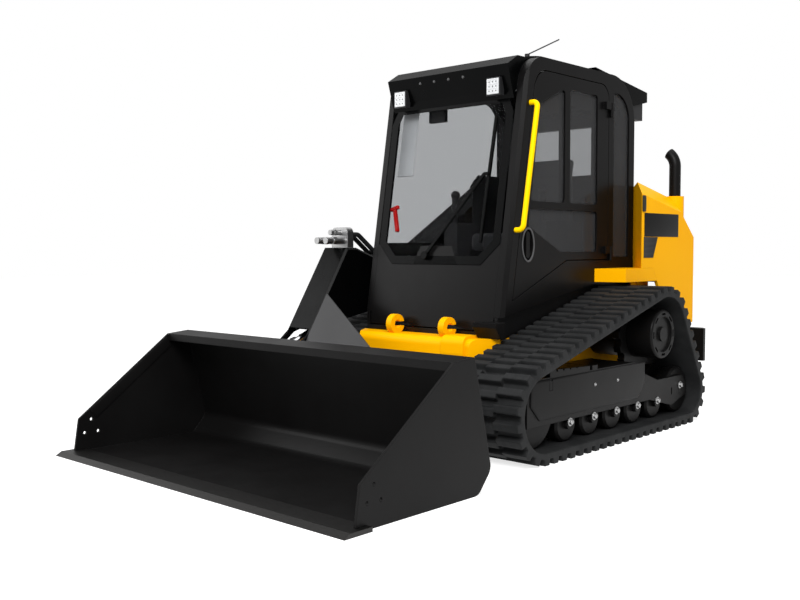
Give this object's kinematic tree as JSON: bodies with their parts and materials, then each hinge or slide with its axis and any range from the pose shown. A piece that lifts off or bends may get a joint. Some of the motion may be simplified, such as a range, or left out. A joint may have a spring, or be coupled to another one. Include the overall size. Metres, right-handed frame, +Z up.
{
  "type": "compact track loader",
  "caption": "Compact track loader with a single loader arm, side-entry cab, rubber tracks on raised drive sprockets and a wide bucket",
  "frame": {"origin": "on the ground under the middle of the machine with its bucket down", "axes": "-Y forward, +X the machine's left, +Z up"},
  "size_m": [2.2, 3.76, 2.3945],
  "materials": {
    "rubber": "matte moulded rubber",
    "frame_black": "satin black paint",
    "cab_black": "satin black paint",
    "yellow": "gloss yellow paint",
    "bar_yellow": "gloss yellow paint",
    "glass": "tinted glass",
    "lamp": "clear lens in a black housing",
    "seat_fabric": "woven seat cover",
    "plastic": "grained plastic",
    "engine_grey": "cast",
    "edge_steel": "painted wear edge",
    "steel": "plated steel",
    "chrome_rod": "chromed rod"
  },
  "bodies": {
    "chassis": {"antenna": "plastic", "boom_tower": "frame_black", "cab_floor": "cab_black", "cab_front_panel": "cab_black", "cab_left_frame": "cab_black", "cab_rear_wall": "cab_black", "cab_right_frame": "cab_black", "cab_roof": "cab_black", "cab_step": "frame_black", "chassis_tub": "yellow", "control_consoles": "plastic", "drive_sprocket_left": "frame_black", "drive_sprocket_right": "frame_black", "engine_block": "engine_grey", "engine_hood": "yellow", "exhaust_stack": "frame_black", "fender_left": "yellow", "fender_right": "yellow", "final_drive_left": "frame_black", "final_drive_right": "frame_black", "front_crossmember": "yellow", "grab_bar": "bar_yellow", "hood_grille": "frame_black", "quarter_glass": "glass", "rear_bumper": "frame_black", "rear_glass": "glass", "rear_work_lights": "lamp", "right_glass": "glass", "roof_visor": "cab_black", "seat_back": "seat_fabric", "seat_base": "frame_black", "seat_cushion": "seat_fabric", "track_frame_left": "frame_black", "track_frame_right": "frame_black", "track_idlers_left": "frame_black", "track_idlers_right": "frame_black", "track_left": "rubber", "track_right": "rubber", "track_rollers_left": "frame_black", "track_rollers_right": "frame_black", "windscreen": "glass", "windscreen_wiper": "plastic", "work_lights": "lamp"},
    "boom": {"boom_arm": "frame_black", "boom_crosstube": "frame_black", "hydraulic_couplers": "steel", "boom_hoses": "rubber", "hose_clamp": "frame_black"},
    "bucket": {"bucket_shell": "frame_black", "cutting_edge": "edge_steel", "quick_hitch": "frame_black"},
    "lift_barrel": {"lift_cylinder_barrel": "frame_black"},
    "lift_rod": {"lift_cylinder_rod": "chrome_rod"},
    "tilt_barrel": {"tilt_cylinder_barrel": "frame_black"},
    "tilt_rod": {"tilt_cylinder_rod": "chrome_rod"},
    "cab_door": {"cab_door": "cab_black", "door_glass": "glass"},
    "rear_door": {"rear_door": "frame_black"}
  },
  "joints": [
    {"name": "boom_lift", "type": "hinge", "parent": "chassis", "child": "boom", "pos_m": [-0.7475, 1.49, 1.5], "axis": [-1, 0, 0], "range_deg": [0, 66]},
    {"name": "bucket_tilt", "type": "hinge", "parent": "boom", "child": "bucket", "pos_m": [0, -0.86, 0.22], "axis": [1, 0, 0], "range_deg": [-27, 110]},
    {"name": "lift_barrel_swing", "type": "hinge", "parent": "chassis", "child": "lift_barrel", "pos_m": [-0.7475, 1.45, 1.13], "axis": [-1, 0, 0], "range_deg": [0, 63.2]},
    {"name": "lift_rod_stroke", "type": "slide", "parent": "lift_barrel", "child": "lift_rod", "axis": [0, -0.9869, -0.1615], "range_m": [0, 0.4039]},
    {"name": "tilt_barrel_swing", "type": "hinge", "parent": "boom", "child": "tilt_barrel", "pos_m": [-0.7475, 0.06, 0.775], "axis": [1, 0, 0], "range_deg": [-0.67, 2.41]},
    {"name": "tilt_rod_stroke", "type": "slide", "parent": "tilt_barrel", "child": "tilt_rod", "axis": [0, -0.913, -0.408], "range_m": [-0.0646, 0.2572]},
    {"name": "cab_door_swing", "type": "hinge", "parent": "chassis", "child": "cab_door", "pos_m": [0.542, 1.002, 1.5], "axis": [0, 0, 1], "range_deg": [0, 80]},
    {"name": "rear_door_swing", "type": "hinge", "parent": "chassis", "child": "rear_door", "pos_m": [0.692, 1.802, 0.95], "axis": [0, 0, -1], "range_deg": [0, 100]}
  ],
  "couplings": [
    {"joint": "lift_barrel_swing", "follows": "boom_lift", "ratio": 0.95},
    {"joint": "lift_rod_stroke", "follows": "boom_lift", "m_per_rad": 0.34893},
    {"joint": "tilt_barrel_swing", "follows": "bucket_tilt", "ratio": 0.02},
    {"joint": "tilt_rod_stroke", "follows": "bucket_tilt", "m_per_rad": 0.13293}
  ]
}
